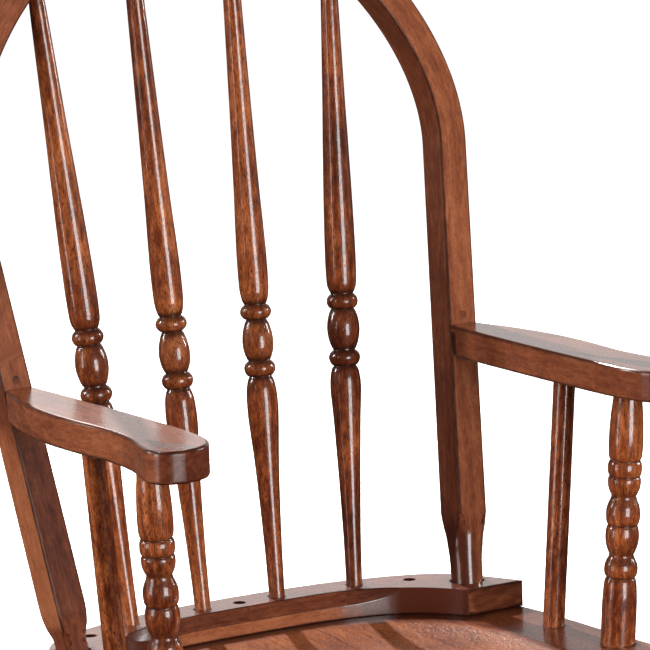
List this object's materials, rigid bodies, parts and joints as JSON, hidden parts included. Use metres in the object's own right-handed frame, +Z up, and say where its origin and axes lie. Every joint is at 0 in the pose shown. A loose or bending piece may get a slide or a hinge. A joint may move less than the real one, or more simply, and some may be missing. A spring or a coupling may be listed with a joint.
{
  "type": "rocking chair",
  "caption": "Small wooden rocking chair with a steam-bent bow back, turned spindles, flat arms on turned posts, a scooped seat and curved rockers.",
  "frame": {"origin": "on the floor, at the middle of the chair's width and of its depth over the rockers", "axes": "+Z up, the chair faces -Y, +X is towards the sitter's left arm"},
  "size_m": [0.4172, 0.6054, 0.8172],
  "materials": {
    "turned_wood": "tobacco-brown stain under gloss lacquer, on turned hardwood",
    "bow_wood": "tobacco-brown stain under gloss lacquer, on bent and sawn hardwood",
    "seat_wood": "tobacco-brown stain under gloss lacquer, on the scooped seat board",
    "plug_wood": "dark stained end-grain pins",
    "screw_steel": "dark zinc-plated wood screws"
  },
  "bodies": {
    "root": {"arm_left": "bow_wood", "arm_post_left": "turned_wood", "arm_post_right": "turned_wood", "arm_right": "bow_wood", "arm_screw_left": "screw_steel", "arm_screw_right": "screw_steel", "arm_spindle_left": "turned_wood", "arm_spindle_right": "turned_wood", "back_rail": "bow_wood", "back_spindle_1": "turned_wood", "back_spindle_2": "turned_wood", "back_spindle_3": "turned_wood", "back_spindle_4": "turned_wood", "bow": "bow_wood", "bow_pin_left": "plug_wood", "bow_pin_right": "plug_wood", "leg_front_left": "turned_wood", "leg_front_right": "turned_wood", "leg_rear_left": "turned_wood", "leg_rear_right": "turned_wood", "rail_screw_left": "screw_steel", "rail_screw_middle": "screw_steel", "rail_screw_right": "screw_steel", "rocker_left": "bow_wood", "rocker_right": "bow_wood", "rocker_screw_front_left": "screw_steel", "rocker_screw_front_right": "screw_steel", "rocker_screw_rear_left": "screw_steel", "rocker_screw_rear_right": "screw_steel", "seat": "seat_wood", "stretcher_front_lower": "turned_wood", "stretcher_front_upper": "turned_wood", "stretcher_left": "turned_wood", "stretcher_rear": "turned_wood", "stretcher_right": "turned_wood"}
  },
  "joints": []
}
